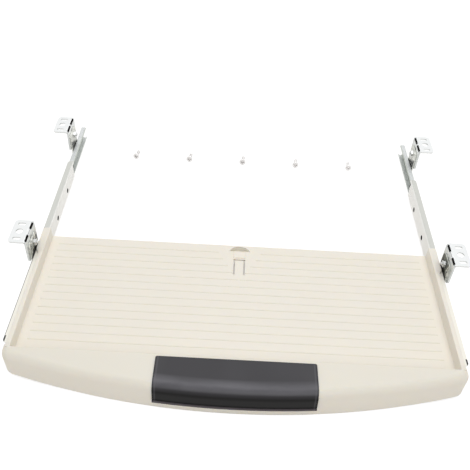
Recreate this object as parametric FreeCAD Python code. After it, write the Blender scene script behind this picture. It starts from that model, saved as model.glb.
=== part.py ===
import FreeCAD, Part

import math
import os

from FreeCAD import Vector

# Pull-out keyboard tray that hangs under a desk on two ball-bearing slides.
# Lengths are in millimetres. X runs to the right, Y to the rear and Z up.
# The origin is on the underside of the desk, midway between the four bracket holes.

# Tray moulding
bay_width = 494.0
bay_depth = 191.8
rim_height = 16.5
tray_skirt_drop = 15.5
floor_thickness = 2.5
side_wall = 2.0
rim_width = 5.5
rim_thickness = 2.0
rim_edge_radius = 0.9
saddle_chamfer = 0.6
floor_drop = 46.0
rear_lip_gap = 0.3
rear_overhang = 3.0
rear_lip_thickness = 2.5
rear_edge_radius = 2.2
saddle_length = 40.0
saddle_setback = 0.5
saddle_taper = 6.0
saddle_corner = 2.5

# Palm rest, bowed towards the user
palm_wall = 2.5
palm_side_reach = 10.3
palm_side_lean = 4.3
palm_depth = 45.2
palm_front_lean = 4.1
palm_arch = 5.0
palm_bow = 940.0
palm_corner = 13.0
palm_edge_radius = 9.0
palm_ear_depth = 5.3
palm_run_out = 60.0
palm_rib_places = (120.0, 205.0)
palm_rib_height = 22.0
rib_thickness = 1.8

# Ribs under the floor
floor_rib_height = 6.5
floor_cross_ribs = (60.0, 110.0, 160.0)
floor_long_ribs = (60.0, 180.0)

# Grooves in the floor
groove_pitch = 12.0
groove_front_margin = 5.0
groove_width = 1.8
groove_depth = 0.6
groove_margin = 10.0
clear_half_width = 30.0
clear_base = 7.5
clear_apex = 62.0

# Cable clip at the rear of the floor
window_half_width = 13.7
window_front = 8.5
window_rear = 0.3
bridge_width = 15.0
bridge_front = 21.5
bridge_rear = 9.5
bridge_height = 1.4
bridge_radius = 0.6
tongue_width = 11.0
tongue_rear = 24.5
tongue_root = 50.0
tongue_slot = 1.8
tongue_relief = 1.4

# Pull handle wrapped over the front edge
handle_half_width = 87.7
handle_rear = 3.4
handle_proud = 1.4
handle_recess = 1.0
handle_edge_radius = 13.0
handle_bottom_rise = 9.5
handle_lip_height = 2.4
handle_lip_proud = 1.1
handle_corner = 2.0
handle_gap = 0.15
handle_boss_place = 62.0
handle_boss_depth = 20.0
handle_boss_diameter = 7.0
handle_boss_rise = 0.1
handle_core_depth = 2.3
handle_boss_gap = 0.3
handle_screw_diameter = 3.0
handle_screw_length = 2.2
handle_screw_head = 10.0
handle_screw_head_height = 2.0

# Side arms, bent from painted sheet
arm_gap = 0.2
arm_thickness = 1.2
arm_bend_radius = 1.2
arm_flange_gap = 0.5
arm_foot_width = 13.9
arm_front_gap = 1.5
arm_rear = 148.0
arm_web_setback = 7.0
arm_drop = 11.0
arm_corner = 4.0
arm_hole_diameter = 6.0
arm_hole_places = (39.0, 98.5)
arm_hole_drop = 1.3

# Screws between the tray and the feet of the arms
tray_screw_rear = 45.0
tray_screw_front = 35.0
tray_screw_inset = 7.0
tray_screw_diameter = 3.2
tray_screw_length = 7.0
tray_screw_head = 7.0
tray_screw_head_height = 2.2
tray_screw_hole_gap = 0.5
tray_boss_diameter = 8.4
screw_core_gap = 0.05

# Ball-bearing slides
tray_travel = 240.0
slide_depth = 7.2
outer_rail_height = 20.0
outer_rail_depth = 6.8
outer_lip = 2.7
rail_sheet = 1.0
rail_bend_radius = 0.7
outer_rail_setback = 7.0
outer_rail_rear = 244.0
inner_rail_setback = 2.0
inner_flange_gap = 1.2
ball_diameter = 3.0
ball_gap = 0.1
ball_count = 2
ball_end_margin = 12.0
cage_stop_gap = 1.0
cage_sheet = 0.5
cage_web_gap = 0.35
cage_pocket_gap = 0.15
stop_tab_width = 5.0
stop_tab_gap = 0.4
front_tab_reach = 3.0
bumper_length = 9.0
bumper_gap = 0.6
bumper_half_height = 3.6
bumper_depth = 3.8
bumper_radius = 1.0
rivet_inset = 20.0
rivet_diameter = 4.0
rivet_gap = 0.05
rivet_head_diameter = 6.4
rivet_head_height = 0.7

# Hangers on the outer rails
hanger_width = 30.0
hanger_thickness = 1.5
hanger_rise = 36.5
hanger_foot = 7.5
hanger_corner = 6.0

# Desk brackets
bracket_pitch_y = 236.0
bracket_tray_offset = 40.5
bracket_width = 40.0
bracket_thickness = 2.0
bracket_bend_radius = 1.5
bracket_drop = 34.0
bracket_flange = 20.2
bracket_corner = 5.0
bracket_gap = 0.2
hole_offset = 10.7
hole_diameter = 9.0
screw_slot_length = 10.0
screw_slot_width = 4.5
screw_slot_place = 13.0
slit_length = 12.0
slit_width = 2.6
slit_place = 11.5

# Clamp bolts between brackets and hangers
clamp_drop = 17.0
clamp_travel = 8.0
bolt_diameter = 5.0
bolt_slot_gap = 0.3
bolt_hole_gap = 0.2
bolt_head_width = 8.0
bolt_head_height = 3.4
bolt_flange_diameter = 11.0
bolt_flange_thickness = 1.0
bolt_tail = 2.0
nut_height = 4.0
thread_gap = 0.05

# Loose wood screws
wood_screw_count = 5
wood_screw_pitch = 83.0
wood_screw_rear = 226.0
wood_screw_length = 24.0
wood_screw_diameter = 4.2
wood_screw_head = 9.4
wood_screw_head_height = 3.0
wood_screw_point = 6.0
wood_screw_turn = 5.0

# Datum planes that follow from the sizes
floor_z = -floor_drop
rim_z = floor_z + rim_height
bottom_z = floor_z - tray_skirt_drop
tray_rear_y = bracket_tray_offset - bracket_pitch_y / 2
bay_front_y = tray_rear_y - bay_depth
palm_rear_y = bay_front_y + palm_ear_depth
wall_x = bay_width / 2
arm_x = wall_x + side_wall + arm_gap
slide_x = arm_x + arm_thickness
rail_x = slide_x + slide_depth
hanger_x = rail_x + hanger_thickness
bracket_x = hanger_x + bracket_gap
hole_x = bracket_x + bracket_thickness + hole_offset
flange_end_x = rail_x - arm_flange_gap
saddle_x = flange_end_x - saddle_setback
arm_top_z = rim_z - rim_thickness - arm_gap
arm_bottom_z = floor_z - arm_drop
arm_front_y = palm_rear_y + arm_front_gap
arm_rear_y = tray_rear_y + arm_rear
rear_lip_z = arm_bottom_z + arm_thickness + rear_lip_gap
rail_z = floor_z
clamp_z = -clamp_drop
race_half = outer_rail_height / 2 - rail_sheet
ball_centre = race_half - ball_gap - ball_diameter / 2
inner_half = ball_centre - ball_diameter / 2 - ball_gap
ball_depth = outer_rail_depth / 2
cage_web = rail_sheet + cage_web_gap
outer_rail_front_y = arm_front_y + outer_rail_setback
inner_rail_rear_y = arm_rear_y - inner_rail_setback
cage_stop = rail_sheet + tray_travel / 2 + cage_stop_gap
cage_front_y = outer_rail_front_y + cage_stop
cage_length = inner_rail_rear_y - cage_stop - cage_front_y
ball_pitch = (cage_length - 2 * ball_end_margin) / (ball_count - 1)
boss_end_z = rim_z - palm_wall + handle_boss_rise
far = 1000.0
cut_margin = 1.0
match = 1e-3
same_point = 1e-6
bend_middle = 45.0
full_turn = 360.0


def along_x(x):
    """Place a profile drawn in Y and Z at one X."""
    return lambda u, v: Vector(x, u, v)


def along_y(y):
    """Place a profile drawn in X and Z at one Y."""
    return lambda u, v: Vector(u, y, v)


def along_z(z):
    """Place a profile drawn in X and Y at one Z."""
    return lambda u, v: Vector(u, v, z)


def box(x0, x1, y0, y1, z0, z1):
    """Box between two corners."""
    return Part.makeBox(x1 - x0, y1 - y0, z1 - z0, Vector(x0, y0, z0))


def rounded_outline(points, radii, place):
    """Closed wire through points of a plane, with each corner rounded by its radius."""
    corners = []
    count = len(points)
    for i in range(count):
        here = Vector(points[i][0], points[i][1], 0)
        back = Vector(points[i - 1][0], points[i - 1][1], 0).sub(here).normalize()
        ahead = Vector(points[(i + 1) % count][0], points[(i + 1) % count][1], 0).sub(here).normalize()
        radius = radii[i] if hasattr(radii, "__len__") else radii
        if radius <= 0:
            corners.append((here, None, here))
            continue
        half_angle = back.getAngle(ahead) / 2
        reach = radius / math.tan(half_angle)
        middle = (back + ahead).normalize() * (radius / math.sin(half_angle) - radius)
        corners.append((here + back * reach, here + middle, here + ahead * reach))
    edges = []
    for i in range(count):
        first, middle, last = corners[i]
        if middle is not None:
            bend = [place(p.x, p.y) for p in (first, middle, last)]
            edges.append(Part.Arc(bend[0], bend[1], bend[2]).toShape())
        following = corners[(i + 1) % count][0]
        if last.distanceToPoint(following) > same_point:
            edges.append(Part.LineSegment(place(last.x, last.y), place(following.x, following.y)).toShape())
    return Part.Wire(edges)


def prism(points, radii, place, direction):
    """Solid of a rounded outline extruded along a vector."""
    return Part.Face(rounded_outline(points, radii, place)).extrude(direction)


def bent_sheet(points, thickness, inside_radius):
    """Outline points and radii of a sheet bent along its centre line."""
    left = []
    right = []
    left_radii = []
    right_radii = []
    half = thickness / 2
    steps = [Vector(b[0] - a[0], b[1] - a[1], 0).normalize() for a, b in zip(points, points[1:])]
    for i, point in enumerate(points):
        before = steps[max(i - 1, 0)]
        after = steps[min(i, len(steps) - 1)]
        turn = before.x * after.y - before.y * after.x
        normal = Vector(-before.y - after.y, before.x + after.x, 0).normalize()
        reach = half / normal.dot(Vector(-after.y, after.x, 0))
        left.append((point[0] + normal.x * reach, point[1] + normal.y * reach))
        right.append((point[0] - normal.x * reach, point[1] - normal.y * reach))
        inner = inside_radius if abs(turn) > same_point else 0.0
        outer = inside_radius + thickness if abs(turn) > same_point else 0.0
        left_radii.append(inner if turn > 0 else outer)
        right_radii.append(outer if turn > 0 else inner)
    return left + right[::-1], left_radii + right_radii[::-1]


def bent_part(points, thickness, inside_radius, y0, y1):
    """Bent sheet with its section in X and Z, extruded from one Y to another."""
    outline, radii = bent_sheet(points, thickness, inside_radius)
    return prism(outline, radii, along_y(y0), Vector(0, y1 - y0, 0))


def cylinder(diameter, start, direction, length):
    """Round bar from a point along a direction."""
    return Part.makeCylinder(diameter / 2, length, start, direction)


def slot(length, width, centre, along, depth):
    """Solid of a round-ended slot, its length along one axis and its depth along another."""
    across = along.cross(depth).normalize()
    end = along * ((length - width) / 2)
    side = across * (width / 2)
    tip = along * (length / 2)
    corners = [centre + end + side, centre - end + side, centre - end - side, centre + end - side]
    edges = [
        Part.LineSegment(corners[0], corners[1]).toShape(),
        Part.Arc(corners[1], centre - tip, corners[2]).toShape(),
        Part.LineSegment(corners[2], corners[3]).toShape(),
        Part.Arc(corners[3], centre + tip, corners[0]).toShape(),
    ]
    return Part.Face(Part.Wire(edges)).extrude(depth)


def hexagon(width, start, direction, length):
    """Hexagonal bar of a width across flats, from a point along a direction that lies in X and Z."""
    radius = width / math.sqrt(3)
    across = Vector(0, 1, 0)
    up = direction.cross(across)
    angles = [math.radians(a) for a in range(30, 390, 60)]
    outline = [start + across * (radius * math.cos(a)) + up * (radius * math.sin(a)) for a in angles]
    return Part.Face(Part.makePolygon(outline + outline[:1])).extrude(direction * length)


def fillet_where(shape, radius, test):
    """Fillet the edges whose middle point passes a test."""
    chosen = [e for e in shape.Edges if test(e.CenterOfMass)]
    return shape.makeFillet(radius, chosen)


def chamfer_where(shape, size, test):
    """Chamfer the edges whose middle point passes a test."""
    chosen = [e for e in shape.Edges if test(e.CenterOfMass)]
    return shape.makeChamfer(size, chosen)


def mirrored(shape):
    """The same piece on the left side."""
    return shape.mirror(Vector(0, 0, 0), Vector(1, 0, 0))


def palm_block(inset, edge_radius):
    """The palm rest as a block, drawn in by an inset on its top, front and sides."""
    top_z = rim_z - inset
    low_z = bottom_z - cut_margin
    rear_y = palm_rear_y + palm_run_out
    top_x = wall_x + palm_side_reach - inset
    low_x = top_x - palm_side_lean
    corners = [
        Vector(-top_x, rear_y, top_z), Vector(-low_x, rear_y, low_z), Vector(low_x, rear_y, low_z),
        Vector(top_x, rear_y, top_z), Vector(-top_x, rear_y, top_z)]
    block = Part.Face(Part.makePolygon(corners)).extrude(Vector(0, -far, 0))
    bow = palm_bow - inset
    centre = Vector(0, bay_front_y - palm_depth + palm_bow, low_z)
    block = block.common(Part.makeCone(bow + palm_front_lean, bow, top_z - low_z, centre))

    def front_corner(c):
        return abs(c.z - (top_z + low_z) / 2) < cut_margin and c.y < rear_y - match

    def top_edge(c):
        return abs(c.z - top_z) < match and c.y < rear_y - match

    block = fillet_where(block, palm_corner - inset, front_corner)
    block = fillet_where(block, edge_radius, top_edge)
    return block.common(box(-far, far, -far, palm_rear_y, -far, far))


def palm_underside():
    """Everything below the arched lower edge of the palm rest."""
    half = wall_x + palm_side_reach
    side_z = bottom_z + palm_arch
    arc = Part.Arc(Vector(-half, 0, side_z), Vector(0, 0, bottom_z), Vector(half, 0, side_z)).toShape()
    below = Part.makePolygon([
        Vector(half, 0, side_z), Vector(half, 0, -far), Vector(-half, 0, -far), Vector(-half, 0, side_z)])
    return Part.Face(Part.Wire([arc] + below.Edges)).extrude(Vector(0, -far, 0))


def rim(side):
    """One side wall of the bay with its flat rim, and the wider saddle over the arm at the rear."""
    profile = [
        (wall_x, floor_z - floor_thickness), (wall_x, rim_z), (wall_x + rim_width, rim_z),
        (wall_x + rim_width, rim_z - rim_thickness), (wall_x + side_wall, rim_z - rim_thickness),
        (wall_x + side_wall, floor_z - floor_thickness)]
    radii = [0, rim_edge_radius, rim_edge_radius, 0, rim_edge_radius, 0]
    wall = prism(profile, radii, along_y(bay_front_y), Vector(0, bay_depth, 0))
    saddle_y = tray_rear_y - saddle_length
    plan = [
        (wall_x, saddle_y - saddle_taper), (wall_x + rim_width, saddle_y - saddle_taper),
        (saddle_x, saddle_y), (saddle_x, tray_rear_y), (wall_x, tray_rear_y)]
    corners = [0, saddle_taper, saddle_taper, saddle_corner, 0]
    saddle = prism(plan, corners, along_z(rim_z - rim_thickness), Vector(0, 0, rim_thickness))
    front_y = saddle_y - saddle_taper
    saddle = chamfer_where(
        saddle, saddle_chamfer,
        lambda c: abs(c.z - rim_z) < match and abs(c.y - front_y) > match and c.x > wall_x + match)
    whole = wall.fuse(saddle)
    return whole if side > 0 else mirrored(whole)


def floor_plate():
    """Floor of the bay with the rolled lip at its rear edge."""
    rear_y = tray_rear_y + rear_overhang
    under_z = floor_z - floor_thickness
    profile = [
        (bay_front_y - palm_wall, floor_z), (rear_y, floor_z), (rear_y, rear_lip_z),
        (rear_y - rear_lip_thickness, rear_lip_z), (rear_y - rear_lip_thickness, under_z),
        (bay_front_y - palm_wall, under_z)]
    radii = [0, rear_edge_radius, 0, 0, 0, 0]
    width = 2 * (wall_x + side_wall)
    return prism(profile, radii, along_x(-width / 2), Vector(width, 0, 0))


def floor_ribs():
    """Stiffening ribs under the floor and the bosses for the screws of the arms."""
    top_z = floor_z - floor_thickness
    low_z = top_z - floor_rib_height
    half = rib_thickness / 2
    reach = arm_x - arm_foot_width - arm_gap
    ribs = []
    for depth in floor_cross_ribs:
        y = tray_rear_y - depth
        ribs.append(box(-reach, reach, y - half, y + half, low_z, top_z))
    for x in floor_long_ribs:
        for side in (-1, 1):
            ribs.append(box(side * x - half, side * x + half, bay_front_y, tray_rear_y, low_z, top_z))
    return ribs


def tray_screw_points():
    """Centres of the screws on the top face of the right arm's foot."""
    x = arm_x - tray_screw_inset
    places = (tray_rear_y - tray_screw_rear, arm_front_y + tray_screw_front)
    return [Vector(x, y, arm_bottom_z + arm_thickness) for y in places]


def both_sides(points):
    """The points and their mirror images."""
    return points + [Vector(-p.x, p.y, p.z) for p in points]


def tray_bosses():
    """Bosses that stand on the feet of the arms."""
    up = Vector(0, 0, 1)
    return [
        cylinder(tray_boss_diameter, p, up, floor_z - floor_thickness - p.z)
        for p in both_sides(tray_screw_points())]


def grooves():
    """V grooves across the floor, left out in the triangle round the cable clip."""
    cuts = []
    reach = wall_x - groove_margin
    count = int((bay_depth - groove_front_margin) / groove_pitch)
    for i in range(1, count + 1):
        depth = groove_pitch * i
        y = tray_rear_y - depth
        half = groove_width / 2
        profile = [(y - half, floor_z), (y + half, floor_z), (y, floor_z - groove_depth)]
        share = (clear_apex - depth) / (clear_apex - clear_base)
        inner = clear_half_width * share if depth < clear_apex else 0.0
        if inner > 0:
            cuts.append(prism(profile, 0, along_x(inner), Vector(reach - inner, 0, 0)))
            cuts.append(prism(profile, 0, along_x(-reach), Vector(reach - inner, 0, 0)))
        else:
            cuts.append(prism(profile, 0, along_x(-reach), Vector(2 * reach, 0, 0)))
    return cuts


def clip_cuts():
    """Cable window and the slots that free the spring tongue."""
    top_z = floor_z + cut_margin
    down = Vector(0, 0, -floor_thickness - 2 * cut_margin)
    chord = tray_rear_y - window_front
    left = Vector(-window_half_width, chord, top_z)
    right = Vector(window_half_width, chord, top_z)
    arc = Part.Arc(right, Vector(0, tray_rear_y + window_rear, top_z), left).toShape()
    window = Part.Face(Part.Wire([Part.LineSegment(left, right).toShape(), arc])).extrude(down)
    cuts = [window]
    rear_y = tray_rear_y - tongue_rear
    root_y = tray_rear_y - tongue_root
    half = tongue_width / 2
    end = Vector(0, rear_y, top_z)
    cuts.append(slot(tongue_width + 2 * tongue_slot, tongue_slot, end, Vector(1, 0, 0), down))
    for side in (-1, 1):
        x = side * (half + tongue_slot / 2)
        middle = Vector(x, (rear_y + root_y) / 2, top_z)
        cuts.append(slot(rear_y - root_y + tongue_slot, tongue_slot, middle, Vector(0, 1, 0), down))
        cuts.append(cylinder(2 * tongue_relief, Vector(x, rear_y, top_z), Vector(0, 0, -1), -down.z))
    return cuts


def clip_bridge():
    """Raised block behind the tongue that the cable passes over."""
    half = bridge_width / 2
    low_y = tray_rear_y - bridge_front
    high_y = tray_rear_y - bridge_rear
    block = box(-half, half, low_y, high_y, floor_z - floor_thickness / 2, floor_z + bridge_height)
    return fillet_where(block, bridge_radius, lambda c: abs(c.z - floor_z - bridge_height) < match)


def handle_boss_points():
    """Axes of the handle's bosses on the top of the palm rest."""
    y = bay_front_y - handle_boss_depth
    return [Vector(side * handle_boss_place, y, rim_z - handle_recess) for side in (-1, 1)]


def handle_zone(gap):
    """Plan area of the handle as a tall block, grown by a gap."""
    half = handle_half_width + gap
    rear_y = bay_front_y - handle_rear + gap
    low_z = bottom_z + handle_bottom_rise - gap
    plan = [(-half, rear_y - far), (half, rear_y - far), (half, rear_y), (-half, rear_y)]
    radii = [0, 0, handle_corner + gap, handle_corner + gap]
    return prism(plan, radii, along_z(low_z), Vector(0, 0, far))


def make_tray_shell():
    """The tray moulding in one piece."""
    outer = palm_block(0.0, palm_edge_radius)
    cavity = palm_block(palm_wall, palm_edge_radius - palm_wall)
    rear_wall = bay_front_y - palm_wall
    cavity = cavity.common(box(-far, far, -far, rear_wall, -far, far))
    body = outer.cut([cavity, palm_underside()])
    rib_low = rim_z - palm_wall - palm_rib_height
    rib_room = palm_block(palm_wall / 2, palm_edge_radius - palm_wall / 2)
    half = rib_thickness / 2
    pieces = []
    for x in palm_rib_places:
        for side in (-1, 1):
            rib = box(side * x - half, side * x + half, bay_front_y - far, rear_wall + half, rib_low, rim_z)
            pieces.append(rib.common(rib_room))
    rear_y = bay_front_y + far
    bay_plan = [(-wall_x, bay_front_y), (wall_x, bay_front_y), (wall_x, rear_y), (-wall_x, rear_y)]
    bay = prism(bay_plan, [saddle_corner, saddle_corner, 0, 0], along_z(floor_z), Vector(0, 0, far))
    body = body.fuse(pieces + [floor_plate(), rim(1), rim(-1)] + floor_ribs() + tray_bosses())
    body = body.cut(bay)
    body = body.fuse(clip_bridge())
    holes = []
    pilot = tray_screw_length - arm_thickness + cut_margin
    for p in both_sides(tray_screw_points()):
        holes.append(cylinder(tray_screw_diameter, p, Vector(0, 0, 1), pilot))
    for p in handle_boss_points():
        start = Vector(p.x, p.y, rim_z + cut_margin)
        bore = handle_boss_diameter + 2 * handle_boss_gap
        holes.append(cylinder(bore, start, Vector(0, 0, -1), palm_wall + 2 * cut_margin))
    seat = handle_zone(handle_gap).cut(palm_block(handle_recess, palm_edge_radius - handle_recess))
    return body.cut(holes + grooves() + clip_cuts() + [seat]).removeSplitter()


def make_pull_handle():
    """Cover over the front edge, with a finger lip along its lower edge and two bosses."""
    zone = handle_zone(0.0)
    core = palm_block(handle_recess - handle_gap / 2, palm_edge_radius - handle_recess)
    skin = palm_block(-handle_proud, handle_edge_radius).common(zone)
    lip_low = bottom_z + handle_bottom_rise
    lip = palm_block(-handle_proud - handle_lip_proud, handle_edge_radius)
    lip = lip.common(zone).common(box(-far, far, -far, far, lip_low, lip_low + handle_lip_height))
    bosses = []
    cores = []
    for p in handle_boss_points():
        low = Vector(p.x, p.y, boss_end_z)
        bosses.append(cylinder(handle_boss_diameter, low, Vector(0, 0, 1), rim_z - boss_end_z))
        cores.append(cylinder(handle_screw_diameter, low, Vector(0, 0, 1), handle_core_depth))
    return skin.fuse(lip).cut(core).fuse(bosses).cut(cores).removeSplitter()


def hex_screw(seat, up, diameter, length, head, head_height):
    """Screw with its shank from the seat point along a direction and a hexagonal head on the other side."""
    shank = cylinder(diameter - 2 * screw_core_gap, seat, up, length)
    return shank.fuse(hexagon(head, seat, up * -1, head_height)).removeSplitter()


def make_handle_screws():
    """Two screws that pull the handle down from inside the palm rest."""
    screws = []
    for p in handle_boss_points():
        seat = Vector(p.x, p.y, rim_z - palm_wall)
        screws.append(hex_screw(
            seat, Vector(0, 0, 1), handle_screw_diameter, handle_screw_length,
            handle_screw_head, handle_screw_head_height))
    return Part.makeCompound(screws)


def make_tray_screws():
    """Screws up through the foot of the right arm into the tray's bosses."""
    screws = []
    for p in tray_screw_points():
        seat = p - Vector(0, 0, arm_thickness)
        screws.append(hex_screw(
            seat, Vector(0, 0, 1), tray_screw_diameter, tray_screw_length,
            tray_screw_head, tray_screw_head_height))
    return Part.makeCompound(screws)


def rivet_points():
    """Rivet axes on the inner face of the right arm's web."""
    return [Vector(arm_x, y, rail_z) for y in (arm_front_y + rivet_inset, arm_rear_y - rivet_inset)]


def make_side_arm():
    """Right arm: web against the tray, flange over the slide and foot under the tray."""
    half = arm_thickness / 2
    top_z = arm_top_z - half
    foot_z = arm_bottom_z + half
    points = [
        (arm_x - arm_foot_width, foot_z), (arm_x + half, foot_z), (arm_x + half, top_z),
        (flange_end_x, top_z)]
    arm = bent_part(points, arm_thickness, arm_bend_radius, arm_front_y, arm_rear_y)
    relief_z = arm_bottom_z + arm_thickness + arm_bend_radius
    foot_trim = box(-far, far, tray_rear_y - rear_overhang, far, -far, relief_z)
    bend_z = arm_top_z - arm_thickness - arm_bend_radius
    web_trim = box(-far, far, arm_rear_y - arm_web_setback, far, -far, bend_z)
    foot_end = arm_x - arm_foot_width

    def sharp_corner(c):
        on_flange = abs(c.x - flange_end_x) < match and abs(c.z - top_z) < match
        on_foot = abs(c.x - foot_end) < match and abs(c.z - foot_z) < match and c.y < tray_rear_y
        return on_flange or on_foot

    arm = fillet_where(arm.cut([foot_trim, web_trim]), arm_corner, sharp_corner)
    across = Vector(1, 0, 0)
    up = Vector(0, 0, 1)
    through = arm_thickness + 2 * cut_margin
    web_x = arm_x - cut_margin
    holes = [
        cylinder(arm_hole_diameter, Vector(web_x, tray_rear_y + y, rail_z - arm_hole_drop), across, through)
        for y in arm_hole_places]
    for p in rivet_points():
        holes.append(cylinder(rivet_diameter + 2 * rivet_gap, p - across * cut_margin, across, through))
    for p in tray_screw_points():
        low = p - up * (arm_thickness + cut_margin)
        holes.append(cylinder(tray_screw_diameter + 2 * tray_screw_hole_gap, low, up, through))
    return arm.cut(holes)


def make_rivets():
    """Rivets through the right arm and its inner rail, flush on the arm and headed inside the slide."""
    across = Vector(1, 0, 0)
    length = arm_thickness + rail_sheet
    rivets = []
    for p in rivet_points():
        shank = cylinder(rivet_diameter, p, across, length)
        head = cylinder(rivet_head_diameter, p + across * length, across, rivet_head_height)
        rivets.append(shank.fuse(head).removeSplitter())
    return Part.makeCompound(rivets)


def slide_section(points):
    """Slide section given by depth from the outer face and height from the axis, in X and Z."""
    return [(rail_x - depth, rail_z + height) for depth, height in points]


def make_outer_rail():
    """Right outer rail: a C section with curled lips that make the two ball races."""
    half = rail_sheet / 2
    edge = outer_rail_height / 2 - half
    lip = outer_rail_depth - half
    lip_end = outer_rail_height / 2 - outer_lip
    section = slide_section([
        (lip, -lip_end), (lip, -edge), (half, -edge), (half, edge), (lip, edge), (lip, lip_end)])
    front_y = outer_rail_front_y
    rail = bent_part(section, rail_sheet, rail_bend_radius, front_y, tray_rear_y + outer_rail_rear)
    reach = rail_sheet + front_tab_reach
    tab = box(
        rail_x - reach, rail_x - half, front_y, front_y + rail_sheet,
        rail_z - stop_tab_width / 2, rail_z + stop_tab_width / 2)
    window = box(
        rail_x - rail_sheet - cut_margin, rail_x + cut_margin,
        front_y + rail_sheet, front_y + rail_sheet + reach,
        rail_z - stop_tab_width / 2, rail_z + stop_tab_width / 2)
    return rail.fuse(tab).cut(window).removeSplitter()


def make_inner_rail():
    """Right inner rail: a narrower C section that opens towards the outer rail."""
    half = rail_sheet / 2
    edge = inner_half - half
    web = slide_depth - half
    end = rail_sheet + inner_flange_gap
    section = slide_section([(end, edge), (web, edge), (web, -edge), (end, -edge)])
    front_y = arm_front_y + inner_rail_setback
    rail = bent_part(section, rail_sheet, rail_bend_radius, front_y, inner_rail_rear_y)
    tab = box(
        rail_x - web, rail_x - rail_sheet - stop_tab_gap, inner_rail_rear_y - rail_sheet, inner_rail_rear_y,
        rail_z - stop_tab_width / 2, rail_z + stop_tab_width / 2)
    across = Vector(1, 0, 0)
    holes = [
        cylinder(rivet_diameter + 2 * rivet_gap, p, across, arm_thickness + rail_sheet + cut_margin)
        for p in rivet_points()]
    return rail.fuse(tab).cut(holes).removeSplitter()


def ball_points():
    """Centres of the balls in the right slide."""
    x = rail_x - ball_depth
    middle = cage_front_y + cage_length / 2
    points = []
    for i in range(ball_count):
        y = middle + (i - (ball_count - 1) / 2) * ball_pitch
        for side in (-1, 1):
            points.append(Vector(x, y, rail_z + side * ball_centre))
    return points


def make_ball_cage():
    """Right ball cage: a thin C section with a pocket for each ball."""
    half = cage_sheet / 2
    flange = (inner_half + ball_centre) / 2 + half
    end = outer_rail_depth - rail_sheet - 2 * cage_web_gap
    section = slide_section([
        (end, -flange), (cage_web + half, -flange), (cage_web + half, flange), (end, flange)])
    cage = bent_part(section, cage_sheet, cage_sheet, cage_front_y, cage_front_y + cage_length)
    offset = ball_centre - flange
    pocket = math.sqrt((ball_diameter / 2) ** 2 - (offset - half) ** 2) + cage_pocket_gap
    holes = []
    for p in ball_points():
        side = 1 if p.z > rail_z else -1
        start = Vector(p.x, p.y, rail_z + side * (flange - cut_margin))
        holes.append(cylinder(2 * pocket, start, Vector(0, 0, side), 2 * cut_margin))
    return cage.cut(holes)


def make_steel_balls():
    """Balls of the right slide."""
    return Part.makeCompound([Part.makeSphere(ball_diameter / 2, p) for p in ball_points()])


def make_bumper():
    """Rubber stop in the right outer rail, behind the inner rail."""
    front_y = inner_rail_rear_y + bumper_gap
    web_x = rail_x - rail_sheet
    plan = [
        (web_x - bumper_depth, front_y), (web_x, front_y), (web_x, front_y + bumper_length),
        (web_x - bumper_depth, front_y + bumper_length)]
    radii = [bumper_radius, 0, 0, bumper_radius]
    low_z = rail_z - bumper_half_height
    return prism(plan, radii, along_z(low_z), Vector(0, 0, 2 * bumper_half_height))


def bracket_places():
    """Y of the front and the rear bracket."""
    return {"front": -bracket_pitch_y / 2, "rear": bracket_pitch_y / 2}


def make_hanger(y):
    """Right hanger: an upright plate on the outer rail that the bracket clamps."""
    half = hanger_width / 2
    low_z = rail_z - hanger_foot
    high_z = floor_z + hanger_rise
    plan = [(y - half, low_z), (y + half, low_z), (y + half, high_z), (y - half, high_z)]
    radii = [0, 0, hanger_corner, hanger_corner]
    plate = prism(plan, radii, along_x(rail_x), Vector(hanger_thickness, 0, 0))
    start = Vector(rail_x - cut_margin, y, clamp_z)
    through = hanger_thickness + 2 * cut_margin
    return plate.cut(cylinder(bolt_diameter + 2 * bolt_hole_gap, start, Vector(1, 0, 0), through))


def make_bracket(y):
    """Right desk bracket: flange with screw holes, slotted upright and two slits along its bend."""
    half = bracket_thickness / 2
    half_width = bracket_width / 2
    outer_x = bracket_x + bracket_thickness + bracket_flange
    points = [(bracket_x + half, -bracket_drop), (bracket_x + half, -half), (outer_x, -half)]
    bracket = bent_part(points, bracket_thickness, bracket_bend_radius, y - half_width, y + half_width)

    def sharp_corner(c):
        on_flange = abs(c.x - outer_x) < match and abs(c.z + half) < match
        on_upright = abs(c.x - bracket_x - half) < match and abs(c.z + bracket_drop) < match
        return on_flange or on_upright

    bracket = fillet_where(bracket, bracket_corner, sharp_corner)
    through = bracket_thickness + 2 * cut_margin
    top = Vector(hole_x, y, cut_margin)
    cuts = [cylinder(hole_diameter, top, Vector(0, 0, -1), through)]
    for side in (-1, 1):
        place = top + Vector(0, side * screw_slot_place, 0)
        down = Vector(0, 0, -through)
        cuts.append(slot(screw_slot_length, screw_slot_width, place, Vector(1, 0, 0), down))
    length = 2 * clamp_travel + bolt_diameter + 2 * bolt_slot_gap
    start = Vector(bracket_x - cut_margin, y, clamp_z)
    width = bolt_diameter + 2 * bolt_slot_gap
    cuts.append(slot(length, width, start, Vector(0, 0, 1), Vector(through, 0, 0)))
    bend = bracket_thickness + bracket_bend_radius
    offset = bend * (1 - math.cos(math.radians(bend_middle)))
    centre = Vector(bracket_x + offset, y, -offset)
    reach = 2 * bracket_thickness
    for side in (-1, 1):
        slit = Part.makeBox(
            slit_width, slit_length, 2 * reach,
            Vector(-slit_width / 2, -slit_length / 2 + side * slit_place, -reach))
        slit.rotate(Vector(0, 0, 0), Vector(0, 1, 0), -bend_middle)
        slit.translate(centre)
        cuts.append(slit)
    return bracket.cut(cuts).removeSplitter()


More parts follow.
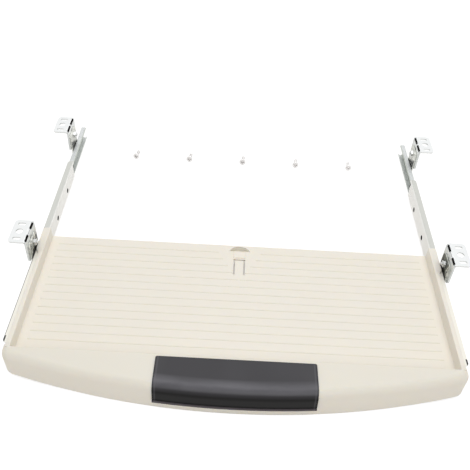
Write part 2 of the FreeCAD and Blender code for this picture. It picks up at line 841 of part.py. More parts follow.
def make_clamp_bolts():
    """Flanged hexagon bolts from outside, through the bracket's slot and the hanger."""
    across = Vector(1, 0, 0)
    seat_x = bracket_x + bracket_thickness + bracket_gap / 2
    length = seat_x - rail_x + nut_height + bolt_tail
    bolts = []
    for y in bracket_places().values():
        seat = Vector(seat_x, y, clamp_z)
        flange = cylinder(bolt_flange_diameter, seat, across, bolt_flange_thickness)
        head = hexagon(bolt_head_width, seat, across, bolt_flange_thickness + bolt_head_height)
        shank = cylinder(bolt_diameter, seat, across * -1, length)
        bolts.append(flange.fuse([head, shank]).removeSplitter())
    return Part.makeCompound(bolts)


def make_clamp_nuts():
    """Nuts on the inner side of the hangers."""
    bore = bolt_diameter + 2 * thread_gap
    nuts = []
    for y in bracket_places().values():
        start = Vector(rail_x - nut_height, y, clamp_z)
        nut = hexagon(bolt_head_width, start, Vector(1, 0, 0), nut_height)
        nuts.append(nut.cut(cylinder(bore, start, Vector(1, 0, 0), nut_height)))
    return Part.makeCompound(nuts)


def wood_screw():
    """Countersunk wood screw with its axis along Y, its head at Y = 0 and its point to the rear."""
    head_radius = wood_screw_head / 2
    radius = wood_screw_diameter / 2
    steps = [
        (0, 0), (0, head_radius), (wood_screw_head_height, radius),
        (wood_screw_length - wood_screw_point, radius), (wood_screw_length, 0), (0, 0)]
    profile = Part.makePolygon([Vector(0, y, z) for y, z in steps])
    return Part.Face(profile).revolve(Vector(0, 0, 0), Vector(0, 1, 0), full_turn)


def make_mounting_screws():
    """Loose wood screws in a row, lying on their heads and points behind the tray."""
    screws = []
    lean = math.degrees(math.asin(wood_screw_head / 2 / wood_screw_length))
    for i in range(wood_screw_count):
        screw = wood_screw()
        screw.rotate(Vector(0, 0, 0), Vector(1, 0, 0), -lean)
        screw.rotate(Vector(0, 0, 0), Vector(0, 0, 1), -wood_screw_turn)
        x = (i - (wood_screw_count - 1) / 2) * wood_screw_pitch
        y = tray_rear_y + wood_screw_rear - wood_screw_length
        screw.translate(Vector(x, y, bottom_z - screw.BoundBox.ZMin))
        screws.append(screw)
    return Part.makeCompound(screws)


def main():
    """Build every piece and write one file for each."""
    os.makedirs("parts", exist_ok=True)
    nodes = {
        "tray_shell": make_tray_shell(),
        "pull_handle": make_pull_handle(),
        "handle_screws": make_handle_screws(),
        "mounting_screws": make_mounting_screws(),
    }
    paired = {
        "side_arm": make_side_arm(),
        "tray_screws": make_tray_screws(),
        "rail_rivets": make_rivets(),
        "inner_rail": make_inner_rail(),
        "outer_rail": make_outer_rail(),
        "ball_cage": make_ball_cage(),
        "steel_balls": make_steel_balls(),
        "rail_bumper": make_bumper(),
        "clamp_bolts": make_clamp_bolts(),
        "clamp_nuts": make_clamp_nuts(),
    }
    for place, y in bracket_places().items():
        paired["hanger_" + place] = make_hanger(y)
        paired["bracket_" + place] = make_bracket(y)
    for name, shape in paired.items():
        nodes[name + "_right"] = shape
        nodes[name + "_left"] = mirrored(shape)
    for name, shape in nodes.items():
        shape.exportStep("parts/" + name + ".step")
        print(name, "solids", len(shape.Solids), "valid", shape.isValid(), "volume", round(shape.Volume, 1))


main()
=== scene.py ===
"""Looks of a pull-out keyboard tray that hangs under a desk on two ball-bearing slides.

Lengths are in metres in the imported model's own frame: X to the right, Y to the rear, Z up.
"""

import logging
import math
from dataclasses import dataclass
from enum import Enum
from typing import Any, Callable, Iterable, Sequence, TypeAlias, Union

import bmesh
import bpy
from mathutils import Matrix, Vector


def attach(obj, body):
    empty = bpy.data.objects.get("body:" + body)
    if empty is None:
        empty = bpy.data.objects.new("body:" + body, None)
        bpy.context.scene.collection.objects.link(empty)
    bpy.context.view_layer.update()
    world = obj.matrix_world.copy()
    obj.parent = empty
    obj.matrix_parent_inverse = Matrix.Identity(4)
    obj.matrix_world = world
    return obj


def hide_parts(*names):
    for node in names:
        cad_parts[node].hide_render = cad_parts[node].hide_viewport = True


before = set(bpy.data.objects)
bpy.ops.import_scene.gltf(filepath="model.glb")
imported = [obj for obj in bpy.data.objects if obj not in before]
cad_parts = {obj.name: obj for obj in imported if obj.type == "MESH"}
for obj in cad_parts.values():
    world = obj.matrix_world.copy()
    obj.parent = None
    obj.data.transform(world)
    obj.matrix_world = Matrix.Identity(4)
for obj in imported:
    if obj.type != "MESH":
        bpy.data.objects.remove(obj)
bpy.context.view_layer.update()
log = logging.getLogger("keyboard_tray")

Colour: TypeAlias = tuple[float, float, float]
Point: TypeAlias = tuple[float, float, float]
Number: TypeAlias = Union["Wire", float]
Tint: TypeAlias = Union["Wire", Colour]
Band: TypeAlias = tuple[float, float]
Stops: TypeAlias = tuple[tuple[float, float], tuple[float, float]]
Ring: TypeAlias = Callable[[float], tuple[float, float]]

WHITE: Colour = (1.0, 1.0, 1.0)
BLACK: Colour = (0.0, 0.0, 0.0)
CHAMFER_SLOPE = 0.58
SHARP_FROM = math.radians(35)


class Named(Enum):
    """A place on the object whose word stands in the names of nodes."""

    @property
    def word(self) -> str:
        """The word, in small letters."""
        return self.name.lower()


class Side(Named):
    """The two sides of the tray, with the sign of X on each."""

    LEFT = -1
    RIGHT = 1


class Place(Named):
    """The two brackets of a side, with the sign of Y at each."""

    FRONT = -1
    REAR = 1


def from_srgb(red: int, green: int, blue: int) -> Colour:
    """Linear colour of a colour given in screen values.

    Args:
        red: Red, 0 to 255.
        green: Green, 0 to 255.
        blue: Blue, 0 to 255.

    Returns:
        The same colour as linear numbers.
    """
    def linear(value: int) -> float:
        """One channel in linear light."""
        share = value / 255
        return share / 12.92 if share <= 0.04045 else ((share + 0.055) / 1.055) ** 2.4

    return linear(red), linear(green), linear(blue)


class Wire:
    """A shader value that can be added, taken away, multiplied and made positive in expressions."""

    def __init__(self, tree: "NodeTree", socket: Any) -> None:
        """Keep the node tree and the output socket.

        Args:
            tree: The node tree the socket is in.
            socket: An output socket, or None for a node that has none.
        """
        self.tree = tree
        self.socket = socket

    def _math(self, operation: str, *values: Number) -> "Wire":
        """Add a Math node that works on numbers or wires."""
        return self.tree.node("ShaderNodeMath", {"operation": operation}, dict(enumerate(values)))

    def __add__(self, other: Number) -> "Wire":
        """Sum."""
        return self._math("ADD", self, other)

    def __radd__(self, other: Number) -> "Wire":
        """Sum, with the number first."""
        return self._math("ADD", other, self)

    def __sub__(self, other: Number) -> "Wire":
        """Difference."""
        return self._math("SUBTRACT", self, other)

    def __rsub__(self, other: Number) -> "Wire":
        """Difference, with the number first."""
        return self._math("SUBTRACT", other, self)

    def __mul__(self, other: Number) -> "Wire":
        """Product."""
        return self._math("MULTIPLY", self, other)

    def __rmul__(self, other: Number) -> "Wire":
        """Product, with the number first."""
        return self._math("MULTIPLY", other, self)

    def __abs__(self) -> "Wire":
        """The value without its sign."""
        return self._math("ABSOLUTE", self)


class NodeTree:
    """An empty node tree whose nodes all come from one method."""

    def __init__(self, tree: bpy.types.NodeTree) -> None:
        """Clear the tree.

        Args:
            tree: A material's or a world's node tree.
        """
        self.tree = tree
        tree.nodes.clear()

    def node(self, kind: str, settings: dict[str, Any], sockets: dict[Any, Any], output: Any = 0) -> Wire:
        """Add a node.

        Args:
            kind: The node's type.
            settings: Its settings; "stops" gives a colour ramp's stops as place and grey.
            sockets: Values or wires for its input sockets, by name or number.
            output: Name or number of the output wanted.

        Returns:
            The wanted output.
        """
        made = self.tree.nodes.new(kind)
        for name, value in settings.items():
            if name == "stops":
                self._set_stops(made.color_ramp, value)
            else:
                setattr(made, name, value)
        for name, value in sockets.items():
            if isinstance(value, Wire):
                self.tree.links.new(value.socket, made.inputs[name])
            else:
                made.inputs[name].default_value = value
        return Wire(self, made.outputs[output] if made.outputs else None)

    @staticmethod
    def _set_stops(ramp: bpy.types.ColorRamp, stops: Stops) -> None:
        """Give a colour ramp its two stops.

        Args:
            ramp: The node's colour ramp.
            stops: Place and grey of each stop, in order.
        """
        for element, (place, grey) in zip(ramp.elements, stops):
            element.position = place
            element.color = (grey, grey, grey, 1.0)

    def ray(self, kind: str) -> Wire:
        """1 for rays of one kind, such as "Is Camera Ray", and 0 for the others."""
        return self.node("ShaderNodeLightPath", {}, {}, output=kind)


@dataclass(frozen=True)
class Noise:
    """Grey noise: lumps to the metre, finer layers, and factors on X, Y and Z for streaks."""

    scale: float
    detail: float
    stretch: Point = (1.0, 1.0, 1.0)


class Sheet(NodeTree):
    """One material's node tree with the values that the finishes are worked out from."""

    def __init__(self, name: str) -> None:
        """Start an empty material.

        Args:
            name: The material's name.
        """
        self.material = bpy.data.materials.new(name)
        self.material.use_nodes = True
        super().__init__(self.material.node_tree)

    def mix(self, share: Number, first: Tint, second: Tint) -> Wire:
        """Blend two colours.

        Args:
            share: How much of the second colour, 0 to 1.
            first: A colour or a wire.
            second: A colour or a wire.

        Returns:
            The blended colour.
        """
        sockets = {"Factor": share, 6: self._opaque(first), 7: self._opaque(second)}
        return self.node("ShaderNodeMix", {"data_type": "RGBA"}, sockets, output=2)

    @staticmethod
    def _opaque(tint: Tint) -> Any:
        """A colour with its alpha, or the wire as it is."""
        return tint if isinstance(tint, Wire) else (*tint, 1.0)

    def coats(self, colour: Tint, coats: Iterable[tuple[Number, Tint]]) -> Tint:
        """Lay colours over a colour, one after the other.

        Args:
            colour: The colour underneath.
            coats: How much each coat covers, 0 to 1, and its colour.

        Returns:
            The colour with all its coats.
        """
        for share, tint in coats:
            colour = self.mix(share, colour, tint)
        return colour

    def place(self) -> Wire:
        """Position on the surface in the model's own frame, in metres."""
        return self.node("ShaderNodeTexCoord", {}, {}, output="Object")

    def along(self, axis: str) -> Wire:
        """Place along one axis of the model's own frame, in metres."""
        return self.node("ShaderNodeSeparateXYZ", {}, {"Vector": self.place()}, output=axis)

    def facing(self, axis: str) -> Wire:
        """How squarely the surface faces along an axis, from -1 to 1."""
        normal = self.node("ShaderNodeNewGeometry", {}, {}, output="Normal")
        return self.node("ShaderNodeSeparateXYZ", {}, {"Vector": normal}, output=axis)

    def rise(self, value: Wire, band: Band) -> Wire:
        """A share that is 0 up to the band's start and 1 from its end."""
        sockets = {"Value": value, "From Min": band[0], "From Max": band[1]}
        return self.node("ShaderNodeMapRange", {"clamp": True}, sockets)

    def fall(self, value: Wire, band: Band) -> Wire:
        """A share that is 1 up to the band's start and 0 from its end."""
        return 1.0 - self.rise(value, band)

    def near(self, point: Point, band: Band) -> Wire:
        """A share that falls with the distance from a point, over a band of distances."""
        sockets = {0: self.place(), 1: point}
        return self.fall(self.node("ShaderNodeVectorMath", {"operation": "DISTANCE"}, sockets, "Value"), band)

    def noise(self, noise: Noise) -> Wire:
        """Add a noise that is fixed to the model.

        Args:
            noise: The noise.

        Returns:
            Its value, 0 to 1.
        """
        sockets = {"Scale": noise.scale, "Detail": noise.detail}
        sockets["Vector"] = self.node(
            "ShaderNodeMapping", {}, {"Vector": self.place(), "Scale": noise.stretch})
        return self.node("ShaderNodeTexNoise", {}, sockets)

    def cells(self, scale: float) -> Wire:
        """A grey for each cell of a crystal pattern, from 0 to 1."""
        colours = self.node("ShaderNodeTexVoronoi", {}, {"Vector": self.place(), "Scale": scale}, "Color")
        return self.node("ShaderNodeSeparateColor", {}, {"Color": colours})

    def ramp(self, value: Wire, stops: Stops) -> Wire:
        """A grey between two stops, each given as place and grey."""
        return self.node("ShaderNodeValToRGB", {"stops": stops}, {"Fac": value})

    def bump(self, height: Wire, distance: float, strength: float) -> Wire:
        """Surface normal of a height.

        Args:
            height: The height, 0 to 1.
            distance: What 1 stands for, in metres.
            strength: How much of it shows.

        Returns:
            The normal.
        """
        sockets = {"Height": height, "Distance": distance, "Strength": strength}
        return self.node("ShaderNodeBump", {}, sockets)

    def surface(self, shader: Wire) -> bpy.types.Material:
        """Finish the material with a shader."""
        self.node("ShaderNodeOutputMaterial", {}, {"Surface": shader})
        return self.material

    def principled(self, sockets: dict[str, Any]) -> bpy.types.Material:
        """Finish the material with a principled shader that has these sockets."""
        return self.surface(self.node("ShaderNodeBsdfPrincipled", {}, sockets))


@dataclass(frozen=True, kw_only=True)
class MouldedPlastic:
    """Satin plastic straight from the mould, with a fine spark-eroded grain and painted shade in the grooves.
    """

    name: str
    colour: Colour
    shade: Colour
    # Painted shade laid in the bottoms of the floor's grooves.
    groove: Colour
    # Painted shade: the top of the palm rest is darkened for how the light falls on it.
    palm: Colour = (0.812, 0.775, 0.685)
    palm_shade_share: float = 0.85
    palm_y: Band = (-0.265, -0.262)
    palm_facing: Band = (0.5, 0.9)
    floor_z: float = -0.046
    groove_top: Band = (0.00003, 0.0002)
    groove_bottom: Band = (0.0006, 0.0007)
    groove_facing: Band = (0.6, 0.7)
    # Painted light: the thin wall in the cable window glows, standing for light through the plastic, though
    # it is no lamp.
    glow: Colour = (1.0, 0.95, 0.78)
    glow_strength: float = 0.22
    window: Point = (0.0, -0.079, -0.054)
    window_reach: Band = (0.0171, 0.018)
    window_z: Band = (-0.0475, -0.047)
    window_facing: Band = (-0.6, -0.2)
    roughness: float = 0.42
    patches: Noise = Noise(7.0, 3.0)
    flow: Noise = Noise(60.0, 2.0, (0.3, 1.0, 1.0))
    shading: Stops = ((0.32, 0.0), (0.72, 0.35))
    grain: Noise = Noise(2600.0, 1.0)
    grain_depth: float = 0.00003

    def material(self) -> bpy.types.Material:
        """Make the finish.

        Returns:
            The material.
        """
        sheet = Sheet(self.name)
        patches = sheet.noise(self.patches)
        grain = sheet.noise(self.grain)
        shaded = sheet.ramp(patches * 0.7 + sheet.noise(self.flow) * 0.3, self.shading)
        return sheet.principled({
            "Base Color": sheet.coats(self.colour, [
                (shaded, self.shade),
                (self._on_palm(sheet) * self.palm_shade_share, self.palm),
                (self._in_groove(sheet), self.groove)]),
            "Roughness": self.roughness + (patches - 0.5) * 0.1 + (grain - 0.5) * 0.08,
            "Normal": sheet.bump(grain, self.grain_depth, 0.35),
            "Specular IOR Level": 0.35,
            "Emission Color": sheet.mix(self._on_window_wall(sheet), BLACK, self.glow),
            "Emission Strength": self.glow_strength,
            "Subsurface Weight": 0.35,
            "Subsurface Radius": (1.0, 0.85, 0.6),
            "Subsurface Scale": 0.003,
        })

    def _on_palm(self, sheet: Sheet) -> Wire:
        """Share of the palm rest's top, where shade is painted."""
        return sheet.fall(sheet.along("Y"), self.palm_y) * sheet.rise(sheet.facing("Z"), self.palm_facing)

    def _in_groove(self, sheet: Sheet) -> Wire:
        """Find the bottoms of the floor's grooves, which get painted shade.

        Args:
            sheet: The material's node tree.

        Returns:
            Their share.
        """
        depth = self.floor_z - sheet.along("Z")
        below = sheet.rise(depth, self.groove_top) * sheet.fall(depth, self.groove_bottom)
        return below * sheet.rise(sheet.facing("Z"), self.groove_facing)

    def _on_window_wall(self, sheet: Sheet) -> Wire:
        """Share of the thin wall in the cable window that gets the painted glow."""
        low = sheet.near(self.window, self.window_reach) * sheet.fall(sheet.along("Z"), self.window_z)
        return low * sheet.fall(sheet.facing("Y"), self.window_facing)


@dataclass(frozen=True, kw_only=True)
class GlossPlastic:
    """Dark plastic with a soft gloss and painted light: a lit top and a shaded front, a painted highlight
    along its rounded edge, a painted reflection on its lip and painted shine along the bevels at its ends.
    """

    name: str
    # top and front are lit and shaded copies of one plastic: painted light on the top, painted shade on the
    # front and on the ends.
    top: Colour
    front: Colour
    # edge is the painted highlight colour, also laid in pale patches of haze on the top.
    edge: Colour
    # Painted reflection along the bottom lip.
    lip: Colour
    top_facing: Band = (0.35, 0.72)
    bow: float = 0.543
    rub: Band = (0.2982, 0.3074)
    highlight_facing: Band = (0.62, 0.94)
    lip_z: Band = (-0.0495, -0.0494)
    shine_start: Band = (0.0838, 0.0842)
    shine_end: Band = (0.0852, 0.0862)
    bevel: Band = (0.0862, 0.0866)
    roughness: float = 0.33
    marks: Noise = Noise(45.0, 4.0, (0.35, 1.0, 1.0))
    haze: Noise = Noise(9.0, 2.0)
    hazing: Stops = ((0.4, 0.0), (0.65, 0.14))
    grain: Noise = Noise(3000.0, 1.0)
    grain_depth: float = 0.00002

    def material(self) -> bpy.types.Material:
        """Make the finish.

        Returns:
            The material.
        """
        sheet = Sheet(self.name)
        marks, haze, grain = (sheet.noise(noise) for noise in (self.marks, self.haze, self.grain))
        up = sheet.facing("Z")
        across = sheet.along("X")
        side = abs(across)
        fore = across * across * self.bow - sheet.along("Y")
        top = sheet.mix(sheet.ramp(haze, self.hazing), self.top, self.edge)
        # Painted highlight along the rounded front edge, broken up by noise.
        painted_highlight = sheet.rise(fore, self.rub) * sheet.rise(up, self.highlight_facing) * (marks * 1.7)
        # Painted shine in thin stripes along the bevels at both ends; the ends beyond them take half of the
        # shaded front colour as painted shade.
        shine = sheet.rise(side, self.shine_start) * sheet.fall(side, self.shine_end)
        return sheet.principled({
            "Base Color": sheet.coats(self.front, [
                (sheet.rise(up, self.top_facing), top),
                (painted_highlight, self.edge),
                (sheet.fall(sheet.along("Z"), self.lip_z), self.lip),
                (shine * 0.22, self.edge),
                (sheet.rise(side, self.bevel) * 0.5, self.front)]),
            "Roughness": self.roughness + (marks - 0.5) * 0.12 + (haze - 0.5) * 0.08 + (grain - 0.5) * 0.05,
            "Normal": sheet.bump(grain, self.grain_depth, 0.3),
            "Specular IOR Level": 0.16,
        })


@dataclass(frozen=True, kw_only=True)
class Metal:
    """Plated metal with fine drawing marks under light and dark clouds."""

    name: str
    colour: Colour
    dull: Colour
    metallic: float = 1.0
    roughness: float
    specular: float = 0.5
    lines: Noise = Noise(900.0, 2.0)
    line_depth: float = 0.00001
    clouds: Noise = Noise(38.0, 3.0)
    cloud_share: float = 0.6
    contrast: Stops = ((0.36, 0.0), (0.68, 1.0))
    spangle: float = 0.0
    spangle_scale: float = 260.0

    def material(self) -> bpy.types.Material:
        """Make the finish.

        Returns:
            The material.
        """
        sheet = Sheet(self.name)
        lines = sheet.noise(self.lines)
        clouds = sheet.noise(self.clouds)
        blend = clouds * self.cloud_share + lines * (1.0 - self.cloud_share)
        coats = [(self.calmed(sheet, sheet.ramp(blend, self.contrast)), self.dull)]
        if self.spangle:
            coats.append((sheet.cells(self.spangle_scale) * self.spangle, self.dull))
        colour, metallic = self.marked(sheet, sheet.coats(self.colour, coats), lines)
        return sheet.principled({
            "Base Color": colour,
            "Metallic": metallic,
            "Roughness": self.roughness + (lines - 0.5) * 0.16 + (clouds - 0.5) * 0.12,
            "Normal": sheet.bump(lines, self.line_depth, 0.25),
            "Specular IOR Level": self.specular,
        })

    def calmed(self, sheet: Sheet, dulled: Wire) -> Wire:
        """The share of the dull colour, as strong as this metal shows it."""
        return dulled

    def marked(self, sheet: Sheet, colour: Tint, lines: Wire) -> tuple[Tint, Number]:
        """Add what only this metal has.

        Args:
            sheet: The material's node tree; not used.
            colour: The colour so far.
            lines: The noise of the drawing marks; not used.

        Returns:
            The colour and the metallic share.
        """
        return colour, self.metallic


@dataclass(frozen=True)
class HoleShade:
    """The dark that shows in the holes of the side arms behind the tray."""

    x: float
    reach: Band
    ys: tuple[float, float] = (-0.0385, 0.021)
    z: float = -0.0473
    colour: Colour = (0.004, 0.004, 0.004)

    def coats(self, sheet: Sheet) -> list[tuple[Wire, Colour]]:
        """A dark coat for every hole on both sides."""
        points = [(side.value * self.x, y, self.z) for side in Side for y in self.ys]
        return [(sheet.near(point, self.reach), self.colour) for point in points]


@dataclass(frozen=True, kw_only=True)
class ToppedMetal(Metal):
    """Metal whose upward faces get a painted light-and-shade colour and their own shine, with painted shade
    in the holes behind the tray.
    """

    # The upward faces get a painted brightness and shine of their own, for how light falls on them: painted
    # light and shade.
    level: Colour
    level_metallic: float = 0.0
    level_facing: Band = (0.6, 0.95)
    holes: HoleShade | None = None

    def marked(self, sheet: Sheet, colour: Tint, lines: Wire) -> tuple[Tint, Number]:
        """Paint light and shade on the upward faces and shade in the holes.

        Args:
            sheet: The material's node tree.
            colour: The colour so far.
            lines: The noise of the drawing marks; not used.

        Returns:
            The colour and the metallic share.
        """
        up = self.upward(sheet)
        holes = self.holes.coats(sheet) if self.holes else []
        colour = sheet.coats(colour, [(up, self.painted_shading_tint(sheet)), *holes])
        return colour, self.metallic + up * (self.level_metallic - self.metallic)

    def upward(self, sheet: Sheet) -> Wire:
        """Share of the upward faces."""
        return sheet.rise(sheet.facing("Z"), self.level_facing)

    def painted_shading_tint(self, sheet: Sheet) -> Tint:
        """Painted light-and-shade colour of the upward faces."""
        return self.level


@dataclass(frozen=True, kw_only=True)
class ArmPaint(ToppedMetal):
    """Pale paint with painted light and shade on top: lighter beside the tray, a dark painted shadow of the
    gap on the left and painted shade at the front corners, in the open ends of the rails.
    """

    # Painted light on the top beside the tray, a dark painted shadow of the gap on the left, and painted
    # shade at the front corners where the rails' open ends are.
    shelf: Colour
    shelf_y: Band = (-0.076, -0.075)
    line: Colour = (0.03, 0.03, 0.028)
    line_share: float = 0.85
    line_x: Band = (-0.2565, -0.2564)
    rail_end_shade: Colour = (0.01, 0.01, 0.01)
    corner_x: Band = (0.2551, 0.2553)
    corner_y: Band = (-0.2535, -0.2530)

    def painted_shading_tint(self, sheet: Sheet) -> Tint:
        """Paint light and shade on the top from the rear end to the front corners.

        Args:
            sheet: The material's node tree.

        Returns:
            The colour.
        """
        across, rearward = sheet.along("X"), sheet.along("Y")
        beside = sheet.fall(rearward, self.shelf_y)
        line = sheet.fall(across, self.line_x) * beside * self.line_share
        rail_end_shade = sheet.fall(rearward, self.corner_y) * sheet.rise(abs(across), self.corner_x)
        return sheet.coats(self.level, [(beside, self.shelf), (line, self.line), (rail_end_shade, self.rail_end_shade)])


@dataclass(frozen=True, kw_only=True)
class BracketZinc(ToppedMetal):
    """Bright zinc with painted light round the bend and a dark stripe of painted shade inside it."""

    # Painted light round the top of the bend, and a dark stripe of painted shade inside the bend.
    bend_z: Band = (-0.0022, -0.0018)
    bend_light_share: float = 0.8
    crease: Colour = (0.02, 0.02, 0.02)
    crease_share: float = 0.8
    crease_x: float = 0.2628
    crease_z: float = -0.0035
    crease_width: Band = (0.0002, 0.0006)
    crease_end: Band = (0.2628, 0.2629)

    def upward(self, sheet: Sheet) -> Wire:
        """Share of the upward faces and of the bend's top, which get painted light."""
        up = super().upward(sheet)
        return up + (1.0 - up) * sheet.rise(sheet.along("Z"), self.bend_z) * self.bend_light_share

    def marked(self, sheet: Sheet, colour: Tint, lines: Wire) -> tuple[Tint, Number]:
        """Add a stripe of painted shade along the bend.

        Args:
            sheet: The material's node tree.
            colour: The colour so far.
            lines: The noise of the drawing marks.

        Returns:
            The colour and the metallic share.
        """
        colour, metallic = super().marked(sheet, colour, lines)
        side = abs(sheet.along("X"))
        off = abs((side - self.crease_x) + (sheet.along("Z") - self.crease_z))
        crease = sheet.fall(off, self.crease_width) * sheet.fall(side, self.crease_end)
        return sheet.mix(crease * self.crease_share, colour, self.crease), metallic


@dataclass(frozen=True, kw_only=True)
class HangerZinc(Metal):
    """Mottled zinc, strongest on the inner faces of the front pair, with painted shade black in a wedge at
    the foot of the inner faces.
    """

    # Painted shade and dark reflection: a black wedge at the foot of the inner faces, above the rail.
    foot_shade: Colour = (0.002, 0.003, 0.002)
    foot_shade_z: Band = (-0.0155, -0.0125)
    foot_shade_edge: float = 0.103
    foot_shade_slant: float = 0.55
    foot_shade_breaks: Stops = ((0.54, 1.0), (0.66, 0.0))
    rear_y: Band = (-0.01, 0.01)
    rear_drop: float = 0.0065
    rear_calm: float = 0.75
    inner_facing: Band = (-0.2, -0.1)
    outer_share: float = 0.4

    def calmed(self, sheet: Sheet, dulled: Wire) -> Wire:
        """The mottling, weaker at the rear and on outer faces."""
        front = 1.0 - self._rear(sheet) * self.rear_calm
        return dulled * (front * (self.outer_share + self._inner(sheet) * (1.0 - self.outer_share)))

    def marked(self, sheet: Sheet, colour: Tint, lines: Wire) -> tuple[Tint, Number]:
        """Add the black wedge of painted shade.

        Args:
            sheet: The material's node tree.
            colour: The colour so far.
            lines: The noise that breaks the wedge up.

        Returns:
            The colour and the metallic share.
        """
        lean = (abs(sheet.along("Y")) - self.foot_shade_edge) * self.foot_shade_slant + sheet.along("Z")
        low = sheet.fall(lean + self._rear(sheet) * self.rear_drop, self.foot_shade_z)
        black = self._inner(sheet) * low * sheet.ramp(lines, self.foot_shade_breaks)
        return sheet.mix(black, colour, self.foot_shade), self.metallic - black * self.metallic

    def _rear(self, sheet: Sheet) -> Wire:
        """Share of the rear pair."""
        return sheet.rise(sheet.along("Y"), self.rear_y)

    def _inner(self, sheet: Sheet) -> Wire:
        """Share of the faces that look towards the middle."""
        return sheet.fall(sheet.along("X") * sheet.facing("X"), self.inner_facing)


@dataclass(frozen=True, kw_only=True)
class MattRubber:
    """Black rubber with a little dust."""

    name: str
    colour: Colour
    dust: Colour = (0.02, 0.02, 0.019)
    dust_noise: Noise = Noise(120.0, 3.0)
    dusting: Stops = ((0.45, 0.0), (0.8, 0.3))
    roughness: float = 0.75
    grain: Noise = Noise(1800.0, 2.0)
    grain_depth: float = 0.00003

    def material(self) -> bpy.types.Material:
        """Make the finish.

        Returns:
            The material.
        """
        sheet = Sheet(self.name)
        grain = sheet.noise(self.grain)
        dusty = sheet.ramp(sheet.noise(self.dust_noise), self.dusting)
        return sheet.principled({
            "Base Color": sheet.mix(dusty, self.colour, self.dust),
            "Specular IOR Level": 0.08,
            "Roughness": self.roughness + (grain - 0.5) * 0.2,
            "Normal": sheet.bump(grain, self.grain_depth, 0.4),
        })


class Finishes:
    """Every finish of the object, made once."""

    def __init__(self) -> None:
        """Make the materials."""
        self.tray = MouldedPlastic(
            name="beige_moulding", colour=from_srgb(241, 235, 224), shade=from_srgb(237, 230, 217),
            groove=from_srgb(234, 228, 214)).material()
        # The handle's colours hold painted light and shade: a lit top, a shaded front, a highlight on the
        # edge and a reflection on the lip.
        self.handle = GlossPlastic(
            name="charcoal_gloss", top=from_srgb(62, 61, 64), front=from_srgb(20, 19, 19),
            edge=from_srgb(110, 109, 114), lip=from_srgb(84, 79, 82)).material()
        self.arm = ArmPaint(
            name="pale_powder_coat", colour=from_srgb(254, 254, 252), dull=from_srgb(251, 250, 246),
            metallic=0.0, roughness=0.45, lines=Noise(1400.0, 2.0), level=from_srgb(213, 214, 208),
            shelf=from_srgb(246, 243, 233), holes=HoleShade(0.2498, (0.003515, 0.0037))).material()
        self.rail = ToppedMetal(
            name="drawn_zinc", colour=from_srgb(224, 230, 222), dull=from_srgb(166, 172, 164),
            metallic=0.25, roughness=0.3, lines=Noise(900.0, 2.0, (1.0, 0.04, 1.0)), cloud_share=0.2,
            contrast=((0.36, 0.0), (0.66, 1.0)), level=from_srgb(222, 225, 225), level_metallic=0.1,
            holes=HoleShade(0.2504, (0.004275, 0.0045))).material()
        self.bracket = BracketZinc(
            name="bright_zinc", colour=from_srgb(248, 250, 249), dull=from_srgb(196, 200, 199),
            metallic=0.3, roughness=0.22, spangle=0.45, level=from_srgb(245, 247, 247),
            level_metallic=0.1).material()
        self.hanger = HangerZinc(
            name="mottled_zinc", colour=from_srgb(252, 253, 246), dull=from_srgb(66, 72, 62),
            metallic=0.2, roughness=0.25, specular=0.15, lines=Noise(330.0, 2.0), spangle=0.25,
            contrast=((0.44, 0.0), (0.56, 1.0))).material()
        self.fastener = Metal(
            name="plated_fastener", colour=from_srgb(226, 227, 226), dull=from_srgb(186, 188, 187),
            roughness=0.24).material()
        self.screw = Metal(
            name="nickel_screw", colour=from_srgb(232, 230, 229), dull=from_srgb(196, 193, 191),
            roughness=0.17).material()
        self.ball = Metal(
            name="bearing_steel", colour=from_srgb(225, 226, 228), dull=from_srgb(205, 206, 208),
            roughness=0.08).material()
        self.rubber = MattRubber(name="black_rubber", colour=(0.005, 0.005, 0.005)).material()


def dress(node: str, material: bpy.types.Material) -> None:
    """Give a carried-over node its material.

    Args:
        node: The node's name.
        material: Its finish.
    """
    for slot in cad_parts[node].material_slots:
        slot.material = material
    log.info("%s wears %s", node, material.name)


def new_piece(name: str, mesh: bpy.types.Mesh, material: bpy.types.Material, body: str) -> bpy.types.Object:
    """Put a mesh into the scene as a piece of the object.

    Args:
        name: The piece's name.
        mesh: Its mesh, in place.
        material: Its finish.
        body: The body it moves with.

    Returns:
        The object.
    """
    mesh.materials.clear()
    mesh.materials.append(material)
    piece = bpy.data.objects.new(name, mesh)
    bpy.context.scene.collection.objects.link(piece)
    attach(piece, body)
    log.info("%s rides on %s", name, body)
    return piece


